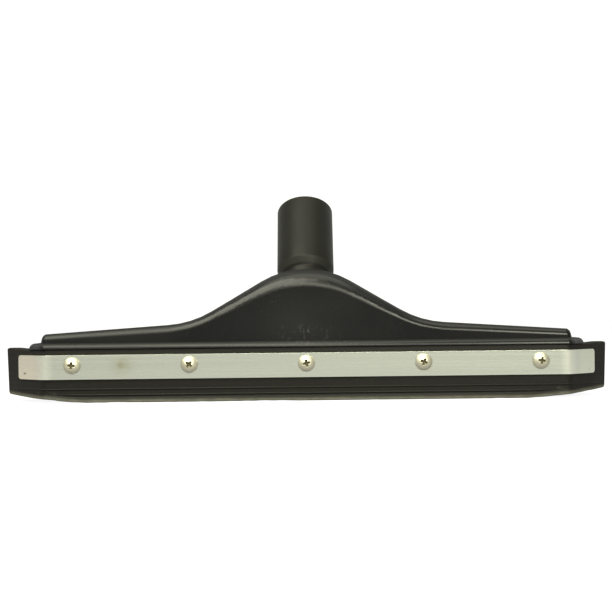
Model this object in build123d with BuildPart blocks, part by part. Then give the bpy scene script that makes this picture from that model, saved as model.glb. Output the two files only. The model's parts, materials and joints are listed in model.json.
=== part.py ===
"""Vacuum floor squeegee: a wet floor tool of about 14 inches for a 1 1/4 inch wand.

Frame: X to the right along the blades, Y to the rear, Z up. The floor is Z = 0.
The tool is symmetric front to rear, apart from its neck, about a plane at Y = mid_y.
Distances called "depth" are measured from that plane, and distances called "inset" are
measured inwards from the outer face of the blades. All sizes are in millimetres and degrees.
"""

import os
from math import copysign, cos, pi, radians, sin, sqrt, tan

from build123d import *

os.makedirs("parts", exist_ok=True)

# Plan of the blades: a long hexagon
blade_half_depth = 25.0
blade_straight_half = 160.5
plan_corner_angle = 42.0
skirt_corner_radius = 3.0
skirt_tip_radius = 2.0

# Rubber blades
blade_thickness = 4.0
blade_height = 32.6
blade_lip_reach = 2.0
blade_lip_height = 3.2
blade_lip_edge = 0.9
blade_edge_thickness = 2.6
blade_free_height = 13.0
rib_height = 0.5
rib_width = 1.3
rib_levels = (8.7, 5.6)
blade_rise_knee = 138.0
blade_rise_angle = 5.2
blade_rise_radius = 180.0
blade_split_gap = 0.6

# Aluminium clamping strips
strip_thickness = 1.2
strip_height = 14.8
strip_foot = 14.25
strip_leg = 22.0
strip_corner_radius = 2.0

# Screws
screw_count = 5
screw_pitch = 71.3
screw_level = 22.8
screw_length = 14.0
shank_diameter = 4.8
head_diameter = 10.2
head_height = 3.8
head_crown_diameter = 6.6
shank_sides = 8
recess_span = 5.4
recess_width = 1.5
recess_depth = 2.2
recess_turns = (4.0, 38.0, -12.0, 21.0, 9.0)
screw_clearance = 0.05
strip_hole_clearance = 0.4

# Moulded body
wall = 3.0
skirt_foot = 13.0
flange_inset = -0.8
flange_half_length = 170.6
flange_thickness = 3.7
flange_edge_radius = 3.5
flange_corner_radius = 4.0
hump_half_depth = 19.5
hump_half_length = 164.3
hump_end_draft = 12.0
hump_end_radius = 3.5
hump_wall = 2.8
crest_level = 80.6
crest_radius = 54.4
flank_angle = 30.5
valley_radius = 59.3
arm_end_level = 41.95
arm_angle = 3.5
crest_edge_radius = 11.8
arm_edge_radius = 4.4
bell_rear_radius = 8.0
least_radius = 0.5
edge_growth = 1.05
bell_steps = 4
hollow_steps = 2
end_steps = 3
boss_width = 9.0
boss_length = 9.0
boss_floor = 2.0

# Neck
neck_tilt = 35.0
neck_seat_depth = 5.24
spigot_diameter = 28.8
spigot_length = 14.0
spigot_clearance = 0.05
stem_length = 1.4
cuff_taper_length = 5.1
cuff_length = 48.0
cuff_diameter = 36.0
socket_diameter = 31.8
socket_depth = 40.0
duct_diameter = 24.4
rim_chamfer = 0.6
socket_wall = 2.2
socket_drop = 5.0
gusset_width = 14.0
gusset_reach = 15.8

# Places worked out from those sizes
half_corner = radians(plan_corner_angle / 2)
tilt = radians(neck_tilt)
flank = radians(flank_angle)
arm = radians(arm_angle)
deck_level = blade_height
skirt_half_depth = blade_half_depth - blade_thickness
strip_face_depth = blade_half_depth + strip_thickness
neck_length = stem_length + cuff_taper_length + cuff_length
cut_reach = 3 * blade_half_depth

# Outline of the hump in front view: crest arc, flank, valley arc, arm
crest_centre = crest_level - crest_radius
crest_end_x = crest_radius * sin(flank)
crest_end_z = crest_centre + crest_radius * cos(flank)
valley_x = (
    crest_end_z + crest_end_x * tan(flank) - arm_end_level - hump_half_length * tan(arm)
) / (tan(flank) - tan(arm))
valley_z = arm_end_level + (hump_half_length - valley_x) * tan(arm)
valley_tangent = valley_radius * tan((flank - arm) / 2)
valley_start_x = valley_x - valley_tangent * cos(flank)
valley_end_x = valley_x + valley_tangent * cos(arm)
valley_centre_x = valley_start_x + valley_radius * sin(flank)
valley_centre_z = valley_z + valley_tangent * sin(flank) + valley_radius * cos(flank)


def hump_height(x):
    """Level of the hump's highest line at a distance x from the middle."""
    x = abs(x)
    if x < crest_end_x:
        return crest_centre + sqrt(crest_radius**2 - x**2)
    if x < valley_start_x:
        return crest_end_z - (x - crest_end_x) * tan(flank)
    if x < valley_end_x:
        return valley_centre_z - sqrt(valley_radius**2 - (x - valley_centre_x) ** 2)
    return arm_end_level + (hump_half_length - x) * tan(arm)


def hump_share(x):
    """0 at the end of an arm, 1 at the crest."""
    return (hump_height(x) - arm_end_level) / (crest_level - arm_end_level)


def top_slope(x):
    """Fall of the hump's top towards the rear: none at the ends, square to the neck at the crest."""
    return tilt * max(hump_share(x), 0.0)


def front_edge_radius(x):
    """Rounding of the hump's front top edge, which swells towards the crest."""
    return arm_edge_radius + (crest_edge_radius - arm_edge_radius) * max(hump_share(x), 0.0) ** edge_growth


def rear_edge_radius(x):
    """Rounding of the hump's rear top edge."""
    return arm_edge_radius + (bell_rear_radius - arm_edge_radius) * max(hump_share(x), 0.0)


def top_line_level(x, depth):
    """Level of the hump's flat top at a place, continued past its rounded edges."""
    slope = top_slope(x)
    radius = front_edge_radius(x)
    rise = radius * (cos(slope) + tan(slope) * (1 + sin(slope)) - 1)
    return hump_height(x) + rise - (depth + hump_half_depth) * tan(slope)


neck_seat_level = top_line_level(0, neck_seat_depth)
rear_reach = neck_seat_depth + neck_length * sin(tilt) + cuff_diameter / 2 * cos(tilt)
front_reach = strip_face_depth + head_height
mid_y = (front_reach - rear_reach) / 2


def plan_plane(level):
    return Plane(origin=(0, mid_y, level))


def side_plane(x, lean=0.0):
    """Plane across the tool at x, with local x to the rear and local y up; lean tips its top inwards."""
    tip = radians(lean)
    return Plane(origin=(x, mid_y, deck_level), x_dir=(0, 1, 0), z_dir=(cos(tip), 0, sin(tip)))


def face_plane(x, depth, level, turn=0.0):
    """Plane facing out of the front (depth below zero) or the rear of the tool, turned about its normal."""
    side = copysign(1, depth)
    x_dir = (-side * cos(radians(turn)), 0, sin(radians(turn)))
    return Plane(origin=(x, mid_y + depth, level), x_dir=x_dir, z_dir=(0, side, 0))


def hexagon(inset):
    """Corners of the plan at an inset from the blades' outer face."""
    depth = blade_half_depth - inset
    straight = blade_straight_half - inset * tan(half_corner)
    tip = straight + depth / tan(2 * half_corner)
    front = [(-tip, 0), (-straight, -depth), (straight, -depth)]
    return front + [(-x, -y) for x, y in front]


def hexagon_radii(tip_radius, corner_radius):
    return [tip_radius, corner_radius, corner_radius] * 2


def hump_section(plane, x, inset=0.0):
    """The hump's outer cross-section at x, drawn on a side_plane and shrunk by an inset."""
    half = hump_half_depth - inset
    drop = deck_level + inset / cos(top_slope(x))
    corners = [
        (-half, 0),
        (-half, top_line_level(x, -half) - drop),
        (half, top_line_level(x, half) - drop),
        (half, 0),
    ]
    front_radius = max(front_edge_radius(x) - inset, least_radius)
    rear_radius = max(rear_edge_radius(x) - inset, least_radius)
    with BuildSketch(plane) as section:
        with BuildLine():
            FilletPolyline(*corners, radius=[0, front_radius, rear_radius, 0], close=True)
        make_face()
    return section.sketch.face()


def hollow_section(x):
    """The plenum's cross-section at x, bevelled to keep the wall's thickness under the rounded front edge."""
    half = hump_half_depth - hump_wall
    slope = top_slope(x)
    drop = deck_level + hump_wall / cos(slope)
    half_angle = (pi / 2 - slope) / 2
    radius = max(front_edge_radius(x) - hump_wall, least_radius)
    bevel = radius * (1 / sin(half_angle) - 1) / cos(half_angle)
    front_top = top_line_level(x, -half) - drop
    with BuildSketch(side_plane(x)) as section:
        with BuildLine():
            Polyline(
                (-half, -2 * wall),
                (-half, front_top - bevel),
                (-half + bevel * cos(slope), front_top - bevel * sin(slope)),
                (half, top_line_level(x, half) - drop),
                (half, -2 * wall),
                close=True,
            )
        make_face()
    return section.sketch.face()


def bell_stations(steps):
    """Places of the bell's cross-sections, at equal turns of its outline round the crest and the valleys."""
    crest = [crest_radius * sin(flank * i / steps) for i in range(steps + 1)]
    turns = [flank + (arm - flank) * i / steps for i in range(steps + 1)]
    right = crest + [valley_centre_x - valley_radius * sin(turn) for turn in turns]
    return [-x for x in reversed(right[1:])] + right


def shank_hole(clearance):
    """Hole that the many-sided shank of a screw can turn in."""
    return RegularPolygon(shank_diameter / 2 + clearance, shank_sides, major_radius=False)


def skirt_run(leg):
    """Front half of the skirt's outer plan line, with legs of a given length past its two corners."""
    _, left, right, *_ = hexagon(blade_thickness)
    along = leg * cos(2 * half_corner)
    back = leg * sin(2 * half_corner)
    return [(left[0] - along, left[1] + back), left, right, (right[0] + along, right[1] + back)]


def run_start_plane(leg):
    """Plane across the start of a skirt run, with local x outwards and local y up."""
    start = skirt_run(leg)[0]
    turn = 2 * half_corner
    return Plane(
        origin=(start[0], mid_y + start[1], 0),
        x_dir=(-sin(turn), -cos(turn), 0),
        z_dir=(-cos(turn), sin(turn), 0),
    )


screw_xs = [(i - (screw_count - 1) / 2) * screw_pitch for i in range(screw_count)]
mid_plane = Plane(origin=(0, mid_y, 0), x_dir=(1, 0, 0), z_dir=(0, 1, 0))
neck_plane = Plane(
    origin=(0, mid_y + neck_seat_depth, neck_seat_level), x_dir=(1, 0, 0), z_dir=(0, sin(tilt), cos(tilt))
)
neck_section = Plane(neck_plane.origin, x_dir=(1, 0, 0), z_dir=(0, -cos(tilt), sin(tilt)))
neck_axis = Axis(neck_plane.origin, neck_plane.z_dir)


# Body: bell-shaped plenum on a flange and a skirt, hollow from below
with BuildPart() as body:
    with BuildSketch(plan_plane(deck_level)):
        with BuildLine():
            FilletPolyline(*hexagon(flange_inset), radius=hexagon_radii(0, flange_corner_radius), close=True)
        make_face()
        Rectangle(2 * flange_half_length, 2 * (blade_half_depth - flange_inset), mode=Mode.INTERSECT)
    extrude(amount=flange_thickness)
    fillet(body.faces().sort_by(Axis.Z)[-1].edges(), min(flange_edge_radius, 0.95 * flange_thickness))

    with BuildSketch(plan_plane(skirt_foot)):
        with BuildLine():
            skirt_radii = hexagon_radii(skirt_tip_radius, skirt_corner_radius)
            FilletPolyline(*hexagon(blade_thickness), radius=skirt_radii, close=True)
        make_face()
    extrude(amount=deck_level - skirt_foot)

    # Bell and arms; each arm ends in sections that shrink along a quarter circle
    loft([hump_section(side_plane(x), x) for x in bell_stations(bell_steps)], ruled=True)
    arm_length = hump_half_length - hump_end_radius
    for side in (-1, 1):
        root = side * valley_end_x
        end = side * arm_length
        end_plane = side_plane(end, side * hump_end_draft)
        loft([hump_section(side_plane(root), root), hump_section(end_plane, end)])
        sections = []
        for i in range(end_steps + 1):
            turn = pi / 2 * i / end_steps
            shrink = hump_end_radius * (1 - cos(turn))
            sections.append(hump_section(end_plane.offset(side * hump_end_radius * sin(turn)), end, shrink))
        loft(sections, ruled=True)

    # Hollow of the skirt, closed above its two noses, and of the plenum
    with BuildSketch(plan_plane(skirt_foot)):
        with BuildLine():
            Polyline(*hexagon(blade_thickness + wall), close=True)
        make_face()
    extrude(amount=deck_level - wall - skirt_foot, mode=Mode.SUBTRACT)
    hollow_end = arm_length - hump_wall
    loft(
        [hollow_section(x) for x in [-hollow_end, *bell_stations(hollow_steps), hollow_end]],
        ruled=True,
        mode=Mode.SUBTRACT,
    )

    # Blind bosses for the screws, front and rear
    for depth in (-skirt_half_depth, skirt_half_depth):
        for x in screw_xs:
            with BuildSketch(face_plane(x, depth, screw_level).offset(-wall)):
                Rectangle(boss_width, boss_width)
            extrude(amount=-boss_length)
            with BuildSketch(face_plane(x, depth, screw_level)):
                shank_hole(screw_clearance)
            extrude(amount=boss_floor - wall - boss_length, mode=Mode.SUBTRACT)

    # Socket that the neck is bonded into, tied to the front wall by a broad gusset
    with BuildSketch(neck_plane.offset(-socket_drop)):
        Circle(spigot_diameter / 2 + spigot_clearance + socket_wall)
        Rectangle(gusset_width, gusset_reach, align=(Align.CENTER, Align.MAX))
    extrude(amount=socket_drop - spigot_length)
    with BuildSketch(neck_plane.offset(crest_edge_radius)):
        Circle(spigot_diameter / 2 + spigot_clearance)
    extrude(amount=-crest_edge_radius - spigot_length, mode=Mode.SUBTRACT)

body.part.label = "body"
export_step(body.part, "parts/body.step")


# Neck: spigot, waisted foot and a plain cuff with a straight socket for the wand
with BuildPart() as neck:
    spigot_radius = spigot_diameter / 2
    cuff_foot = stem_length + cuff_taper_length
    with BuildSketch(neck_section):
        with BuildLine():
            Polyline(
                (duct_diameter / 2, -spigot_length),
                (spigot_radius, -spigot_length),
                (spigot_radius, stem_length),
                (cuff_diameter / 2, cuff_foot),
                (cuff_diameter / 2, neck_length),
                (socket_diameter / 2, neck_length),
                (socket_diameter / 2, neck_length - socket_depth),
                (duct_diameter / 2, neck_length - socket_depth),
                close=True,
            )
        make_face()
    revolve(axis=neck_axis)
    mouth = neck.faces().sort_by(neck_axis)[-1]
    chamfer(mouth.outer_wire().edges(), rim_chamfer)

neck.part.label = "neck"
export_step(neck.part, "parts/neck.step")


# Rubber blades: one swept section with two ribs and a flared lip, notched up towards the ends
with BuildPart() as front_blade:
    blade_leg = skirt_half_depth / sin(2 * half_corner) + 2 * blade_thickness
    with BuildLine(plan_plane(0)) as blade_run:
        FilletPolyline(*skirt_run(blade_leg), radius=skirt_corner_radius)
    with BuildSketch(run_start_plane(blade_leg)):
        with BuildLine():
            rib_points = []
            for level in rib_levels:
                rib_points += [
                    (blade_thickness, level + rib_width / 2),
                    (blade_thickness + rib_height, level + rib_width / 6),
                    (blade_thickness + rib_height, level - rib_width / 6),
                    (blade_thickness, level - rib_width / 2),
                ]
            Polyline(
                (0, blade_height),
                (blade_thickness, blade_height),
                *rib_points,
                (blade_thickness, blade_lip_height),
                (blade_thickness + blade_lip_reach, blade_lip_edge),
                (blade_thickness + blade_lip_reach - blade_lip_edge, 0),
                (blade_thickness + blade_lip_reach - blade_edge_thickness, 0),
                (0, blade_free_height),
                close=True,
            )
        make_face()
    sweep(path=blade_run.line)
    split(bisect_by=mid_plane.offset(-blade_split_gap / 2), keep=Keep.BOTTOM)
    rise_reach = blade_straight_half + 2 * blade_half_depth
    rise_level = (rise_reach - blade_rise_knee) * tan(radians(blade_rise_angle))
    with BuildSketch(face_plane(0, -skirt_half_depth, 0)) as rise:
        with BuildLine():
            FilletPolyline(
                (0, 0),
                (blade_rise_knee, 0),
                (rise_reach, rise_level),
                (rise_reach, -blade_height),
                (0, -blade_height),
                radius=[0, blade_rise_radius, 0, 0, 0],
                close=True,
            )
        make_face()
        mirror(about=Plane.YZ)
    extrude(amount=cut_reach, both=True, mode=Mode.SUBTRACT)
    for x in screw_xs:
        with BuildSketch(face_plane(x, -skirt_half_depth, screw_level)):
            shank_hole(screw_clearance)
        extrude(amount=blade_thickness, mode=Mode.SUBTRACT)

front_blade.part.label = "front_blade"
export_step(front_blade.part, "parts/front_blade.step")

with BuildPart() as rear_blade:
    mirror(front_blade.part, about=mid_plane)

rear_blade.part.label = "rear_blade"
export_step(rear_blade.part, "parts/rear_blade.step")


# Aluminium strips: flat bar with both ends bent back round the corners
with BuildPart() as front_strip:
    with BuildLine(plan_plane(0)) as strip_run:
        FilletPolyline(*skirt_run(strip_leg), radius=skirt_corner_radius)
    with BuildSketch(run_start_plane(strip_leg)):
        with Locations((blade_thickness, strip_foot)):
            Rectangle(strip_thickness, strip_height, align=(Align.MIN, Align.MIN))
    sweep(path=strip_run.line)
    end_corners = front_strip.edges().filter_by(GeomType.LINE).filter_by(
        lambda edge: abs(edge.length - strip_thickness) < 0.01
    )
    fillet(end_corners, strip_corner_radius)
    for x in screw_xs:
        with BuildSketch(face_plane(x, -blade_half_depth, screw_level)):
            shank_hole(strip_hole_clearance)
        extrude(amount=strip_thickness, mode=Mode.SUBTRACT)

front_strip.part.label = "front_strip"
export_step(front_strip.part, "parts/front_strip.step")

with BuildPart() as rear_strip:
    mirror(front_strip.part, about=mid_plane)

rear_strip.part.label = "rear_strip"
export_step(rear_strip.part, "parts/rear_strip.step")


# One pan-head screw, its head standing on the origin and its plain shank below
with BuildPart() as screw:
    with BuildSketch():
        Circle(head_diameter / 2)
    with BuildSketch(Plane.XY.offset(head_height)):
        Circle(head_crown_diameter / 2)
    loft()
    with BuildSketch():
        RegularPolygon(shank_diameter / 2, shank_sides)
    extrude(amount=-screw_length)
    with BuildSketch(Plane.XY.offset(head_height)):
        Rectangle(recess_span, recess_width)
        Rectangle(recess_width, recess_span)
    extrude(amount=-recess_depth, mode=Mode.SUBTRACT)


def screw_seats(depth):
    """Seats of the screws on one strip, each left turned by an angle of its own."""
    turns = [recess_turns[i % len(recess_turns)] for i in range(screw_count)]
    return [face_plane(x, depth, screw_level, turn) for x, turn in zip(screw_xs, turns)]


with BuildPart() as front_screws:
    with Locations(*screw_seats(-strip_face_depth)):
        add(screw.part)

front_screws.part.label = "front_screws"
export_step(front_screws.part, "parts/front_screws.step")

with BuildPart() as rear_screws:
    with Locations(*screw_seats(strip_face_depth)):
        add(screw.part)

rear_screws.part.label = "rear_screws"
export_step(rear_screws.part, "parts/rear_screws.step")
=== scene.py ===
"""Vacuum floor squeegee: looks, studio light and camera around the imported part."""

import json
from math import copysign, cos, pi, radians, sin, sqrt, tan

import bmesh
import bpy
from mathutils import Matrix, Vector, noise


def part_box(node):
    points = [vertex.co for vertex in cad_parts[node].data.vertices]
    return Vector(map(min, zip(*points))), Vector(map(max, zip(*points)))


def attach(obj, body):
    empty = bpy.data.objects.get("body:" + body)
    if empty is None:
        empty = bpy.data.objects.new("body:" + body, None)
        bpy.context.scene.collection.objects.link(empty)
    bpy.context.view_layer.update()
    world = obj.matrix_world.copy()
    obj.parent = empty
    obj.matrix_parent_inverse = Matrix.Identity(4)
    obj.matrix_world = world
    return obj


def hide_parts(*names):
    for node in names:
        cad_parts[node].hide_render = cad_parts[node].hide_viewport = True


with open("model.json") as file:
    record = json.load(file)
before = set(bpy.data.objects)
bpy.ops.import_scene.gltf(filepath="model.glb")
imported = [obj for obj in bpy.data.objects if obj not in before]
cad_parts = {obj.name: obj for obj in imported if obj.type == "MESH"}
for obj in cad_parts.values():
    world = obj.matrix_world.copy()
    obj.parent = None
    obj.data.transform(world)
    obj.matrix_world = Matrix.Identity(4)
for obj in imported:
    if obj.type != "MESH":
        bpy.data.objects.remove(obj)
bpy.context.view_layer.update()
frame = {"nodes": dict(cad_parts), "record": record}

MM = 0.001

# Places read from the frame; these and all other sizes of the pieces are in millimetres
strip_low, strip_high = (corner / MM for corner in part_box("front_strip"))
blade_low, blade_high = (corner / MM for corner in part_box("front_blade"))
screw_low, screw_high = (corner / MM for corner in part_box("front_screws"))
mid_y = (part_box("front_strip")[0].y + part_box("rear_strip")[1].y) / 2 / MM
wand_socket = next(m for m in frame["record"]["mounts"] if m["name"] == "wand_socket")

# Skirt inside the blades; its half depth is measured from the tool's middle plane
blade_thickness = 4.0
strip_thickness = 1.2
strip_leg = 22.0
plan_corner = radians(42)
skirt_corner_radius = 3.0
skirt_half_depth = mid_y - strip_low.y - strip_thickness - blade_thickness
strip_reach = (blade_thickness + strip_thickness) * sin(plan_corner)
skirt_straight_half = strip_high.x - strip_leg * cos(plan_corner) - strip_reach
corner_steps = 8
leg_crowding = 1.7

# Blades: section and ribs
blade_height = blade_high.z
blade_gap = 0.6
blade_edge_radius = 0.7
free_level = 14.0
blade_back = ((2.2, 6.0), (0.0, 13.0))
blade_leg_steps = 48
blade_straight_steps = 150
rib_levels = (8.2, 4.7)
rib_radius = 0.65
rib_height = 0.5
rib_fullness = 0.7
rib_fade = 0.8
rib_steps = 8

# Blades: flared lip, which loses its flare where the foot rises, and has a wavy edge
lip_reach = mid_y - blade_low.y - skirt_half_depth
lip_height = 3.4
lip_face_foot = 1.2
lip_edge = 0.45
lip_edge_level = 0.75
lip_edge_turn = -70
lip_sole = ((1.0, 0.1), (1.8, 0.0), (2.6, 0.0))
flare_power = 1.6
flare_steps = 6
flare_loss = 0.75
flare_loss_rise = 3.5
lip_wave = 0.55
long_wave = 19.0
short_wave = 6.5
wave_offset = 400.0

# Blades: foot cut upwards towards the ends, and tips
rise_knee = 138.0
rise_angle = radians(5.2)
rise_radius = 180.0
rise_span = 50.0
tip_radius = 1.5
tip_lean = 1.0
tip_lift = 0.9
tip_span = 12.0
tip_fan = 14.0

# Strips
strip_edge = 0.06
edge_support = 0.12
strip_corner_radius = 2.0
strip_leg_steps = 24
strip_straight_steps = 60

# Screw heads, each with its cross recess turned by an angle of its own
head_radius = (screw_high.z - screw_low.z) / 2
head_height = 3.8
head_rim = 1.0
crown_power = 0.92
recess_turns = (4, 38, -12, 21, 9)
recess_reach = 2.4
recess_width = 1.6
recess_depth = 1.9
recess_taper = 0.45
recess_slope = 1.6
# Recess faces sunk deeper than this get the painted shade.
shaded_depth = 0.08
head_rings = 44
head_spokes = 96
ring_crowding = 0.8

# Neck, round the axis of the wand's socket
neck_axis = Vector(wand_socket["axis"])
socket_radius = wand_socket["dims"]["r_mm"]
socket_depth = wand_socket["dims"]["length_mm"]
neck_length = 54.5
spigot_length = 14.0
spigot_radius = 14.4
stem_length = 1.4
stem_rounding = ((0.0, -0.6), (0.15, 0.0), (0.55, 0.55))
cuff_foot = 6.5
cuff_radius = 17.95
cuff_rounding = ((-0.45, -0.75), (-0.12, -0.15), (0.0, 0.6))
rim_inset = 0.06
rim_radius = 0.75
socket_rim_radius = 0.4
duct_radius = 12.2
duct_chamfer = 0.3
neck_steps = 160
neck_seat = Vector(wand_socket["pos_m"]) / MM - neck_axis * (neck_length - socket_depth / 2)


def mesh_object(mesh, finish, sharp_angle):
    """An object of the part, smooth apart from its sharp edges."""
    mesh.shade_smooth()
    mesh.set_sharp_from_angle(angle=radians(sharp_angle))
    obj = bpy.data.objects.new(mesh.name, mesh)
    bpy.context.scene.collection.objects.link(obj)
    mesh.materials.append(finish)
    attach(obj, "root")
    return obj


def loft_mesh(name, rings, closed=False):
    """A mesh through rings with the same number of points, capped at both ends or closed into a loop."""
    count = len(rings[0])
    points = [Vector(p) * MM for ring in rings for p in ring]
    faces = []
    for r in range(len(rings) if closed else len(rings) - 1):
        here, there = r * count, (r + 1) % len(rings) * count
        for i in range(count):
            j = (i + 1) % count
            faces.append((here + i, here + j, there + j, there + i))
    if not closed:
        last = (len(rings) - 1) * count
        faces.append(tuple(reversed(range(count))))
        faces.append(tuple(range(last, last + count)))
    mesh = bpy.data.meshes.new(name)
    mesh.from_pydata(points, [], faces)
    made = bmesh.new()
    made.from_mesh(mesh)
    bmesh.ops.recalc_face_normals(made, faces=made.faces)
    made.to_mesh(mesh)
    made.free()
    return mesh


def arc(centre, radius, start, end, steps):
    """Points on an arc between two angles in degrees."""
    turns = [radians(start + (end - start) * i / steps) for i in range(steps + 1)]
    return [(centre[0] + radius * cos(t), centre[1] + radius * sin(t)) for t in turns]


class Shading:
    """A material's node tree, with short calls for the nodes that the finishes share."""

    # Places of the colour sockets on a mix node, where several sockets have the same name
    MIX_FIRST, MIX_SECOND, MIX_RESULT = 6, 7, 2

    def __init__(self, name, colour, roughness, metallic=0.0, specular=0.5):
        self.material = bpy.data.materials.new(name)
        self.material.use_nodes = True
        self.tree = self.material.node_tree
        self.shader = self.tree.nodes["Principled BSDF"]
        self.set(self.shader, "Base Color", (*colour, 1))
        self.set(self.shader, "Roughness", roughness)
        self.set(self.shader, "Metallic", metallic)
        self.set(self.shader, "Specular IOR Level", specular)
        self.place = self.tree.nodes.new("ShaderNodeTexCoord").outputs["Object"]

    def set(self, node, socket, value):
        node.inputs[socket].default_value = value

    def link(self, source, node, socket):
        self.tree.links.new(source, node.inputs[socket])

    def split(self, vector):
        """A vector's X, Y and Z, one by one."""
        node = self.tree.nodes.new("ShaderNodeSeparateXYZ")
        self.link(vector, node, "Vector")
        return node.outputs["X"], node.outputs["Y"], node.outputs["Z"]

    def upward(self):
        """0 to 1 as a face turns upwards, so that dust settles on it."""
        geometry = self.tree.nodes.new("ShaderNodeNewGeometry")
        return self.ramp(self.split(geometry.outputs["Normal"])[2], 0.70, 0.92)

    def scaled(self, scale, shift=(0, 0, 0)):
        """The object's coordinates, scaled along each axis."""
        mapping = self.tree.nodes.new("ShaderNodeMapping")
        self.set(mapping, "Scale", scale)
        self.set(mapping, "Location", shift)
        self.link(self.place, mapping, "Vector")
        return mapping.outputs["Vector"]

    def noise(self, scale, detail=2.0, roughness=0.5, vector=None):
        node = self.tree.nodes.new("ShaderNodeTexNoise")
        self.set(node, "Scale", scale)
        self.set(node, "Detail", detail)
        self.set(node, "Roughness", roughness)
        self.link(vector or self.place, node, "Vector")
        return node.outputs["Fac"]

    def streaks(self, scale, detail, roughness):
        """Noise drawn out along the tool; its scale is given along X, Y and Z."""
        return self.noise(1, detail, roughness, self.scaled(scale))

    def ramp(self, value, low, high, start=0.0, end=1.0):
        """A value mapped from one range to another, held at the ends."""
        node = self.tree.nodes.new("ShaderNodeMapRange")
        for socket, number in (("From Min", low), ("From Max", high), ("To Min", start), ("To Max", end)):
            self.set(node, socket, number)
        self.link(value, node, "Value")
        return node.outputs["Result"]

    def between(self, value, low, high, start=0.0, end=1.0):
        """A coordinate mapped as by ramp, between two places in millimetres."""
        return self.ramp(value, low * MM, high * MM, start, end)

    def math(self, operation, first, second):
        node = self.tree.nodes.new("ShaderNodeMath")
        node.operation = operation
        for i, value in enumerate((first, second)):
            if isinstance(value, (int, float)):
                node.inputs[i].default_value = value
            else:
                self.tree.links.new(value, node.inputs[i])
        return node.outputs["Value"]

    def times(self, first, second):
        return self.math("MULTIPLY", first, second)

    def plus(self, first, second):
        return self.math("ADD", first, second)

    def blend(self, share, first, second):
        """A colour between two colours."""
        node = self.tree.nodes.new("ShaderNodeMix")
        node.data_type = "RGBA"
        self.link(share, node, "Factor")
        for socket, colour in ((self.MIX_FIRST, first), (self.MIX_SECOND, second)):
            if isinstance(colour, tuple):
                self.set(node, socket, (*colour, 1))
            else:
                self.link(colour, node, socket)
        return node.outputs[self.MIX_RESULT]

    def spot(self, centre, radii):
        """1 in the middle of a soft spot in space, 0 outside it; sizes in millimetres."""
        scale = tuple(1 / (radius * MM) for radius in radii)
        shift = tuple(-c / radius for c, radius in zip(centre, radii))
        node = self.tree.nodes.new("ShaderNodeTexGradient")
        node.gradient_type = "QUADRATIC_SPHERE"
        self.link(self.scaled(scale, shift), node, "Vector")
        return node.outputs["Fac"]

    def band(self, axis, start, end, fade):
        """1 between two places along an axis, 0 beyond them; sizes in millimetres."""
        node = self.tree.nodes.new("ShaderNodeVectorMath")
        node.operation = "DOT_PRODUCT"
        self.link(self.place, node, 0)
        self.set(node, 1, axis)
        along = node.outputs["Value"]
        low = self.between(along, start, start + fade)
        high = self.between(along, end - fade, end, 1.0, 0.0)
        return self.times(low, high)

    def bump(self, height, strength, distance):
        """A bumpy surface; the distance is in millimetres."""
        node = self.tree.nodes.new("ShaderNodeBump")
        self.set(node, "Strength", strength)
        self.set(node, "Distance", distance * MM)
        self.link(height, node, "Height")
        self.link(node.outputs["Normal"], self.shader, "Normal")


def moulded_plastic(name, colour, dust_and_light_colour, roughness, specular, wear_and_painted_light, dull_places=None):
    """Black moulded plastic: fine grain, uneven gloss, a little dust, some worn places and, where a finish
    gives it, painted light.
    """
    s = Shading(name, colour, roughness, specular=specular)
    cloud = s.noise(18, 3)
    grain = s.noise(1600, 2)
    uneven = s.plus(cloud, s.times(grain, 0.4))
    gloss = s.ramp(uneven, 0.4, 1.0, roughness - 0.05, roughness + 0.07)
    if dull_places:
        gloss = s.plus(gloss, dull_places(s))
    s.link(gloss, s.shader, "Roughness")
    dust = s.ramp(s.noise(900, 2, 0.7), 0.66, 0.80)
    patch = s.ramp(s.noise(30, 2), 0.45, 0.75, 0.1, 1.0)
    dusty = s.times(s.times(dust, patch), 0.35)
    # Dust, wear and painted light all pale the plastic towards one colour.
    s.link(s.blend(s.plus(dusty, wear_and_painted_light(s)), colour, dust_and_light_colour), s.shader, "Base Color")
    s.bump(grain, 0.04, 0.05)
    return s.material


def worn_hump(s):
    """A paler middle on the hump's front, with scuffs low down on it."""
    front = mid_y - 20
    paler_middle = s.times(s.spot((-6, front, 46), (60, 40, 45)), 0.032)
    scuffs = s.ramp(s.streaks((520, 520, 260), 3, 0.65), 0.57, 0.75)
    marks = s.times(scuffs, s.spot((-1, front, 38), (30, 16, 14)))
    return s.plus(paler_middle, s.times(marks, 0.30))


def dull_body(s):
    """Added roughness: dull along the left arm, glossier on the right, dull on top where dust settles."""
    across = s.split(s.place)[0]
    left_arm = s.between(across, -105, -70, 0.10, 0.0)
    right_side = s.between(across, 10, 75, 0.0, -0.06)
    return s.plus(s.plus(left_arm, right_side), s.times(s.upward(), 0.55))


def painted_cone_reflection(s):
    """A paler cone under the neck's cuff: painted reflection of the light that the cone catches."""
    seat = neck_seat.dot(neck_axis)
    overlap = 0.6
    cone = s.band(neck_axis, seat + stem_length + overlap, seat + cuff_foot + overlap, 2 * overlap)
    return s.times(cone, 0.07)


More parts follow.
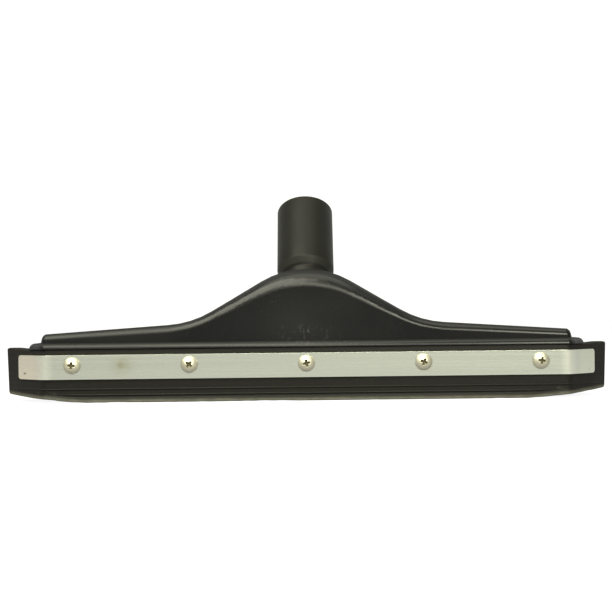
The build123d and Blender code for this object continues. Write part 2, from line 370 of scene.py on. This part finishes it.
def blade_rubber():
    """Dull black rubber with drawn lines along it and a paler lip, partly wear and partly painted light on
    the flared lip.
    """
    black = (0.0026, 0.0023, 0.0015)
    worn_and_lit_grey = (0.055, 0.0535, 0.040)
    s = Shading("blade_rubber", black, 0.55, specular=0.095)
    drawn = s.streaks((12, 12, 1400), 3, 0.6)
    roughness = s.plus(s.ramp(drawn, 0.3, 0.7, 0.46, 0.64), s.times(s.upward(), 0.35))
    s.link(roughness, s.shader, "Roughness")
    across, _, level = s.split(s.place)
    from_middle = s.math("ABSOLUTE", across, 0)
    highest = rise_span * tan(rise_angle) * MM
    rise = s.between(from_middle, rise_knee, rise_knee + rise_span, 0, highest)
    # The paler lip is partly wear and partly painted light on the flare; it follows the rise of the foot.
    lip = s.between(s.math("SUBTRACT", level, rise), 0.4, 2.6, 1.0, 0.0)
    worn_and_lit_lip = s.times(lip, s.ramp(s.noise(160, 3), 0.3, 0.7, 0.55, 1.0))
    dust = s.times(s.ramp(s.noise(700, 2, 0.7), 0.62, 0.80), 0.25)
    s.link(s.blend(s.math("MAXIMUM", worn_and_lit_lip, dust), black, worn_and_lit_grey), s.shader, "Base Color")
    s.bump(drawn, 0.10, 0.05)
    return s.material


def satin_aluminium():
    """Brushed, lightly tarnished aluminium with fine lines along it, a stain, a nick, a few specks, a
    painted highlight on each bend and painted reflections on the bent legs.
    """
    s = Shading("satin_aluminium", (0.66, 0.67, 0.57), 0.28, metallic=1.0)
    s.set(s.shader, "Anisotropic", 0.5)
    brushed = s.streaks((1.5, 1.5, 2600), 3, 0.6)
    broad = s.streaks((5, 5, 420), 2, 0.5)
    s.link(s.ramp(brushed, 0.3, 0.7, 0.24, 0.32), s.shader, "Roughness")
    lines = s.ramp(s.plus(brushed, s.times(broad, 0.8)), 0.5, 1.3)
    metal = s.blend(lines, (0.385, 0.40, 0.34), (0.42, 0.435, 0.377))

    across, depth, _ = s.split(s.place)
    from_middle = s.math("ABSOLUTE", across, 0)
    front = s.between(depth, mid_y - 2, mid_y + 2, 1.0, 0.0)
    blotch = s.ramp(s.noise(260, 3), 0.3, 0.6, 0.4, 1.0)
    stain = s.times(s.spot((-112.7, strip_low.y, 22.3), (11, 8, 9)), blotch)
    # Painted highlight on the bends, and painted reflections making the bent legs lighter and warmer, the
    # left one on the front strip only.
    bend_highlight = s.times(s.between(from_middle, 154, 159), s.between(from_middle, 160, 166, 1.0, 0.0))
    right_leg_reflection = s.times(s.between(across, 164, 169), 0.8)
    left_leg_reflection = s.times(s.times(s.between(across, -168.5, -159.5, 1.0, 0.0), front), 0.9)
    nick = s.times(s.ramp(s.spot((-174, strip_low.y + 9, 17.8), (2.2, 14, 1.4)), 0.1, 0.5), 0.8)
    specks = s.times(s.ramp(s.noise(420, 1, 0.5), 0.79, 0.83), 0.6)
    for share, colour in (
        (stain, (0.27, 0.25, 0.15)),
        (bend_highlight, (0.53, 0.54, 0.455)),
        (right_leg_reflection, (0.46, 0.475, 0.39)),
        (left_leg_reflection, (0.49, 0.445, 0.36)),
        (nick, (0.08, 0.07, 0.05)),
        (specks, (0.22, 0.19, 0.13)),
    ):
        metal = s.blend(share, metal, colour)
    s.link(metal, s.shader, "Base Color")
    s.bump(brushed, 0.02, 0.03)
    return s.material


def plated_steel():
    """Satin plated steel with a warm tint and tiny pits."""
    s = Shading("plated_steel", (0.40, 0.385, 0.30), 0.39, metallic=1.0)
    cloud = s.noise(900, 3)
    s.link(s.ramp(cloud, 0.3, 0.7, 0.46, 0.58), s.shader, "Roughness")
    tint = s.blend(s.ramp(cloud, 0.35, 0.75), (0.345, 0.333, 0.265), (0.305, 0.285, 0.217))
    s.link(tint, s.shader, "Base Color")
    s.bump(s.noise(2500, 2), 0.05, 0.02)
    return s.material


def recess_painted_shade():
    """Dark brown painted shade in the cross recesses."""
    brown = (0.040, 0.034, 0.015)
    s = Shading("recess_painted_shade", brown, 0.55, specular=0.2)
    speckle = s.noise(1800, 3, 0.6)
    s.link(s.blend(s.ramp(speckle, 0.4, 0.7), brown, (0.085, 0.072, 0.036)), s.shader, "Base Color")
    s.link(s.ramp(speckle, 0.3, 0.7, 0.45, 0.7), s.shader, "Roughness")
    s.bump(speckle, 0.2, 0.05)
    return s.material


body_finish = moulded_plastic(
    "body_plastic",
    colour=(0.0018, 0.0018, 0.0019),
    dust_and_light_colour=(0.115, 0.115, 0.118),
    roughness=0.265,
    specular=0.13,
    wear_and_painted_light=worn_hump,
    dull_places=dull_body,
)
# The neck's paler cone under the cuff is painted reflection.
neck_finish = moulded_plastic(
    "neck_plastic",
    colour=(0.0040, 0.0039, 0.0031),
    dust_and_light_colour=(0.08, 0.08, 0.07),
    roughness=0.45,
    specular=0.062,
    wear_and_painted_light=painted_cone_reflection,
)
rubber_finish = blade_rubber()
strip_finish = satin_aluminium()
screw_finish = plated_steel()
recess_shade_finish = recess_painted_shade()


def welded_copy(name, node):
    """A CAD node's mesh with its facets welded and its flat faces joined up."""
    made = bmesh.new()
    made.from_mesh(node.data)
    made.transform(node.matrix_world)
    bmesh.ops.remove_doubles(made, verts=made.verts, dist=MM / 1000)
    bmesh.ops.dissolve_limit(made, angle_limit=radians(0.05), verts=made.verts, edges=made.edges)
    mesh = bpy.data.meshes.new(name)
    made.to_mesh(mesh)
    made.free()
    return mesh


plenum = mesh_object(welded_copy("plenum_body", frame["nodes"]["body"]), body_finish, sharp_angle=34)
weighted = plenum.modifiers.new("even_shading", "WEIGHTED_NORMAL")
weighted.keep_sharp = True
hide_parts("body")


# Blades and strips: sweeps round the front half of the skirt, mirrored for the rear


def skirt_stations(leg, leg_steps, straight_steps):
    """(place, outward direction) along the front of the skirt, with legs past its two corners."""
    shift = skirt_corner_radius * tan(plan_corner / 2)
    corner = Vector((skirt_straight_half, -skirt_half_depth))
    centre = corner + Vector((-shift, skirt_corner_radius))
    right = []
    for i in range(corner_steps + 1):
        angle = plan_corner * i / corner_steps
        out = Vector((sin(angle), -cos(angle)))
        right.append((centre + out * skirt_corner_radius, out))
    along = Vector((cos(plan_corner), sin(plan_corner)))
    out = Vector((sin(plan_corner), -cos(plan_corner)))
    for i in range(1, leg_steps + 1):
        share = 1 - (1 - i / leg_steps) ** leg_crowding
        right.append((corner + along * (shift + (leg - shift) * share), out))
    half = skirt_straight_half - shift
    straight = [
        (Vector((half * (2 * i / straight_steps - 1), -skirt_half_depth)), Vector((0, -1)))
        for i in range(1, straight_steps)
    ]
    left = [(Vector((-p.x, p.y)), Vector((-n.x, n.y))) for p, n in reversed(right)]
    return left + straight + right


def distances_from_end(stations):
    """How far each station lies from the nearer end of the sweep, in a straight line."""
    ends = (stations[0][0], stations[-1][0])
    return [min((place - end).length for end in ends) for place, _ in stations]


def corner_inset(radius, from_end):
    """How far a rounded corner lies inside a square one, at a distance from the end."""
    rest = max(0.0, radius - from_end)
    return radius - sqrt(radius**2 - rest**2)


def ease(share):
    """0 to 1, starting and ending level."""
    share = min(1.0, max(0.0, share))
    return share * share * (3 - 2 * share)


def rise_level(x):
    """Level of the blade's foot, which is cut upwards towards its ends."""
    reach = abs(x) - rise_knee
    tangent = rise_radius * tan(rise_angle / 2)
    if reach < -tangent:
        return 0.0
    if reach < tangent * cos(rise_angle):
        return rise_radius - sqrt(rise_radius**2 - (reach + tangent) ** 2)
    return reach * tan(rise_angle)


def blade_face():
    """Points of a blade's section down to its lip: (distance out from the skirt, level, rib's height)."""
    face, radius = blade_thickness, blade_edge_radius
    points = [(0.0, blade_height, 0.0), (face - radius, blade_height, 0.0)]
    points += [(*p, 0.0) for p in arc((face - radius, blade_height - radius), radius, 90, 0, 4)[1:]]
    points.append((face, free_level, 0.0))
    for level in rib_levels:
        for i in range(rib_steps + 1):
            across = 2 * i / rib_steps - 1
            swell = rib_height * cos(pi / 2 * across) ** rib_fullness if 0 < i < rib_steps else 0.0
            points.append((face, level - rib_radius * across, swell))
    return points


def blade_lip():
    """Points of the flared lip and its sole, as (distance out from the skirt, level)."""
    points = []
    for i in range(flare_steps):
        share = i / flare_steps
        spread = (lip_reach - blade_thickness) * share**flare_power
        points.append((blade_thickness + spread, lip_height - (lip_height - lip_face_foot) * share))
    points += arc((lip_reach - lip_edge, lip_edge_level), lip_edge, 0, lip_edge_turn, 4)
    return points + [(lip_reach - back, level) for back, level in lip_sole]


def lip_lift(x, level):
    """How far the worn, wavy lip stands up off the floor at x."""
    near = max(0.0, 1 - level / lip_height)
    wave = noise.noise((x / long_wave, 3.1, 0.4)) + 0.5 * noise.noise((x / short_wave, 8.2, 1.7))
    return lip_wave * near * max(0.0, wave)


def blade_section(foot, cut, near_tip, wave_x):
    """A blade's section as (distance out from the skirt, level), over a foot level and rounded by a cut."""
    flare = (1 - flare_loss * ease(foot / flare_loss_rise)) * (1 - near_tip)
    lip_top = foot + lip_height
    top = blade_height + tip_lift * near_tip - cut
    section = []
    for distance, level, rib in blade_face():
        level += tip_lift * near_tip * ease(level / blade_height * 2 - 1)
        rib *= (1 - near_tip) * ease((level - lip_top) / rib_fade)
        section.append((distance + rib, min(max(level, lip_top), top)))
    for distance, level in blade_lip():
        spread = distance - blade_thickness
        distance = blade_thickness + (spread * flare if spread > 0 else spread)
        section.append((distance, level + foot + lip_lift(wave_x, level)))
    return section + [(distance, foot + level) for distance, level in blade_back]


def blade_rings(side):
    """Rings of a blade, on the front (-1) or the rear (1); its ends are cut in the middle plane."""
    leg = (skirt_half_depth - blade_gap / 2) / sin(plan_corner)
    stations = skirt_stations(leg, blade_leg_steps, blade_straight_steps)
    rings = []
    for (place, out), from_end in zip(stations, distances_from_end(stations)):
        fan = max(0.0, 1 - from_end / tip_fan) / tan(plan_corner)
        reach = out + Vector((copysign(cos(plan_corner), out.x), sin(plan_corner))) * fan
        near_tip = ease(1 - from_end / tip_span)
        cut = corner_inset(tip_radius, from_end)
        foot = rise_level((place + reach * blade_thickness).x) + cut
        ring = []
        for distance, level in blade_section(foot, cut, near_tip, place.x + wave_offset * side):
            p = place + reach * distance
            p.x -= copysign(tip_lean * near_tip * (1 - level / blade_height), p.x)
            ring.append((p.x, mid_y - side * p.y, level))
        rings.append(ring)
    return rings


def strip_rings(side):
    """Rings of a clamping strip with rounded edges; its ends are rounded in the plane of the strip."""
    inner = blade_thickness
    outer = blade_thickness + strip_thickness
    stations = skirt_stations(strip_leg, strip_leg_steps, strip_straight_steps)
    rings = []
    for (place, out), from_end in zip(stations, distances_from_end(stations)):
        inset = corner_inset(strip_corner_radius, from_end)
        low, high = strip_low.z + inset, strip_high.z - inset
        section = [(inner, high), *arc((outer - strip_edge, high - strip_edge), strip_edge, 90, 0, 4)]
        section.append((outer, high - strip_edge - edge_support))
        section += [(outer, low + (high - low) * share) for share in (0.75, 0.5, 0.25)]
        section.append((outer, low + strip_edge + edge_support))
        section += [*arc((outer - strip_edge, low + strip_edge), strip_edge, 0, -90, 4), (inner, low)]
        ring = []
        for distance, level in section:
            p = place + out * distance
            ring.append((p.x, mid_y - side * p.y, level))
        rings.append(ring)
    return rings


# Screw heads


def dome_level(r):
    """Height of a screw's domed head over its seat, at a distance from its middle."""
    crown = head_height - head_rim
    return head_rim + crown * max(0.0, 1 - (r / head_radius) ** 2) ** crown_power


def head_level(x, z):
    """Height of the head with the cross recess sunk into it."""
    r = sqrt(x * x + z * z)
    arm = max(min(abs(x), abs(z)) - recess_width / 2, max(abs(x), abs(z)) - recess_reach)
    sunk = min(1.0, max(0.0, -arm / recess_taper))
    fade = min(1.0, max(0.0, (recess_reach - r) / recess_reach * recess_slope))
    return dome_level(r) - recess_depth * sunk * fade


def on_circle(radius, spoke):
    """(x, z) on a circle, at a spoke of the head's mesh or between two of them."""
    t = 2 * pi * spoke / head_spokes
    return radius * cos(t), radius * sin(t)


def ring_radius(ring):
    """Radius of a ring of the head's mesh, counted from its middle."""
    return head_radius * (ring / head_rings) ** ring_crowding


def add_head(made, seat, angle, side):
    """One screw head; the sunk faces of its recess get the second material, a painted shade."""
    turn = Matrix.Rotation(radians(angle), 3, "Y")

    def vertex(x, z, height):
        return made.verts.new((seat + turn @ Vector((x, side * height, z))) * MM)

    rings = []
    for i in range(1, head_rings + 1):
        circle = [on_circle(ring_radius(i), j) for j in range(head_spokes)]
        rings.append([vertex(x, z, head_level(x, z)) for x, z in circle])
    top = vertex(0, 0, head_level(0, 0))
    foot = [vertex(*on_circle(head_radius, j), 0) for j in range(head_spokes)]
    rings.append(foot)
    for j in range(head_spokes):
        n = (j + 1) % head_spokes
        made.faces.new((top, rings[0][j], rings[0][n])).material_index = 1
        for i, (a, b) in enumerate(zip(rings, rings[1:])):
            face = made.faces.new((a[j], b[j], b[n], a[n]))
            r = ring_radius(i + 1.5)
            if r < recess_reach and dome_level(r) - head_level(*on_circle(r, j + 0.5)) > shaded_depth:
                face.material_index = 1
    made.faces.new(foot)


def screw_mesh(name, side):
    """The screw heads on a strip, on the front (-1) or the rear (1)."""
    half_span = (screw_high.x - screw_low.x) / 2 - head_radius
    depth = mid_y + side * (skirt_half_depth + blade_thickness + strip_thickness)
    level = (screw_low.z + screw_high.z) / 2
    made = bmesh.new()
    for k, angle in enumerate(recess_turns):
        x = half_span * (2 * k / (len(recess_turns) - 1) - 1)
        add_head(made, Vector((x, depth, level)), angle, side)
    bmesh.ops.recalc_face_normals(made, faces=made.faces)
    mesh = bpy.data.meshes.new(name)
    made.to_mesh(mesh)
    made.free()
    return mesh


for side, word in ((-1, "front"), (1, "rear")):
    blade = mesh_object(loft_mesh(word + "_rubber", blade_rings(side)), rubber_finish, sharp_angle=40)
    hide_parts(word + "_blade")
    strip = mesh_object(loft_mesh(word + "_clamp", strip_rings(side)), strip_finish, sharp_angle=40)
    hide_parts(word + "_strip")
    heads = mesh_object(screw_mesh(word + "_heads", side), screw_finish, sharp_angle=60)
    # The second material paints shade into the recesses.
    heads.data.materials.append(recess_shade_finish)
    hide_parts(word + "_screws")


# Neck, turned round the axis of the wand's socket


def neck_profile():
    """(radius, distance along the axis), from the foot up the outside and down the inside."""
    top = neck_length - rim_inset
    rim = top - rim_radius
    shoulder = neck_length - socket_depth
    points = [(duct_radius, -spigot_length), (spigot_radius, -spigot_length)]
    points += [(spigot_radius + out, stem_length + along) for out, along in stem_rounding]
    points += [(cuff_radius + out, cuff_foot + along) for out, along in cuff_rounding]
    points += [(cuff_radius, cuff_foot + (rim - cuff_foot) * share) for share in (0.25, 0.5, 0.75)]
    points += arc((cuff_radius - rim_radius, rim), rim_radius, 0, 90, 6)
    socket_rim = (socket_radius + socket_rim_radius, top - socket_rim_radius)
    points += arc(socket_rim, socket_rim_radius, 90, 180, 4)
    points += [(socket_radius, shoulder), (duct_radius + duct_chamfer, shoulder)]
    return points + [(duct_radius, shoulder - duct_chamfer)]


def neck_rings():
    """The neck's profile at each step round its axis."""
    upright_to_axis = Vector((0, 0, 1)).rotation_difference(neck_axis)
    rings = []
    for k in range(neck_steps):
        t = 2 * pi * k / neck_steps
        ring = [Vector((r * cos(t), r * sin(t), along)) for r, along in neck_profile()]
        rings.append([neck_seat + upright_to_axis @ p for p in ring])
    return rings


neck = mesh_object(loft_mesh("wand_neck", neck_rings(), closed=True), neck_finish, sharp_angle=40)
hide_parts("neck")


# Pale floor; sizes of the studio are in metres
floor_size = 8
bpy.ops.mesh.primitive_plane_add(size=floor_size, location=(0, 0, 0))
floor = bpy.context.object
floor.name = "floor"
floor_shading = Shading("floor_paint", (0.09, 0.09, 0.09), 0.8, specular=0.0)
floor_shading.set(floor_shading.shader, "Emission Color", (1, 1, 1, 1))
floor_shading.set(floor_shading.shader, "Emission Strength", 0.92)
floor.data.materials.append(floor_shading.material)

# Backdrop: white behind and above, dim in front
bright_side = (0.0, 0.75, 0.66)
dim_strength, bright_strength = 0.40, 1.1
world = bpy.data.worlds.new("studio")
bpy.context.scene.world = world
world.use_nodes = True
world_tree = world.node_tree
towards_bright = world_tree.nodes.new("ShaderNodeVectorMath")
towards_bright.operation = "DOT_PRODUCT"
towards_bright.inputs[1].default_value = bright_side
sky = world_tree.nodes.new("ShaderNodeTexCoord")
world_tree.links.new(sky.outputs["Generated"], towards_bright.inputs[0])
brightness = world_tree.nodes.new("ShaderNodeMapRange")
brightness.inputs["From Min"].default_value = -0.5
brightness.inputs["From Max"].default_value = 0.5
brightness.inputs["To Min"].default_value = dim_strength
brightness.inputs["To Max"].default_value = bright_strength
world_tree.links.new(towards_bright.outputs["Value"], brightness.inputs["Value"])
backdrop = world_tree.nodes["Background"]
backdrop.inputs["Color"].default_value = (1.0, 1.0, 0.94, 1)
world_tree.links.new(brightness.outputs["Result"], backdrop.inputs["Strength"])


def softbox(name, place, size, power):
    """A warm area light facing the tool; its size is (width, height), its power in watts."""
    data = bpy.data.lights.new(name, "AREA")
    data.shape = "RECTANGLE"
    data.size, data.size_y = size
    data.energy = power
    data.color = (1.0, 1.0, 0.82)
    light = bpy.data.objects.new(name, data)
    bpy.context.scene.collection.objects.link(light)
    light.location = place
    target = Vector((0, mid_y * MM, 0.05))
    light.rotation_euler = (target - Vector(place)).to_track_quat("-Z", "Y").to_euler()


softbox("key", place=(-0.473, -0.729, 0.949), size=(1.2, 0.75), power=48)
softbox("low_key", place=(0.43, -0.99, 0.43), size=(0.36, 0.36), power=13.5)
softbox("low_fill", place=(0.03, -1.11, 0.55), size=(0.30, 0.45), power=6.5)
softbox("overhead", place=(0.0, -0.30, 1.4), size=(1.4, 0.9), power=21)

# Camera: level with the hump and a little rolled; the picture's lengths are in pixels
camera_distance = 0.750
camera_level = 0.0532
camera_roll = radians(-0.65)
sensor_width = 36
image_size = 612
focal_pixels = 1234
horizon_shift = 7
camera_data = bpy.data.cameras.new("camera")
camera_data.sensor_width = sensor_width
camera_data.lens = sensor_width * focal_pixels / image_size
camera_data.shift_y = horizon_shift / image_size
camera = bpy.data.objects.new("camera", camera_data)
bpy.context.scene.collection.objects.link(camera)
camera.location = (0, strip_low.y * MM - camera_distance, camera_level)
level_view = Matrix.Rotation(radians(90), 3, "X")
camera.rotation_euler = (level_view @ Matrix.Rotation(camera_roll, 3, "Z")).to_euler()
bpy.context.scene.camera = camera
bpy.context.scene.view_settings.view_transform = "Standard"
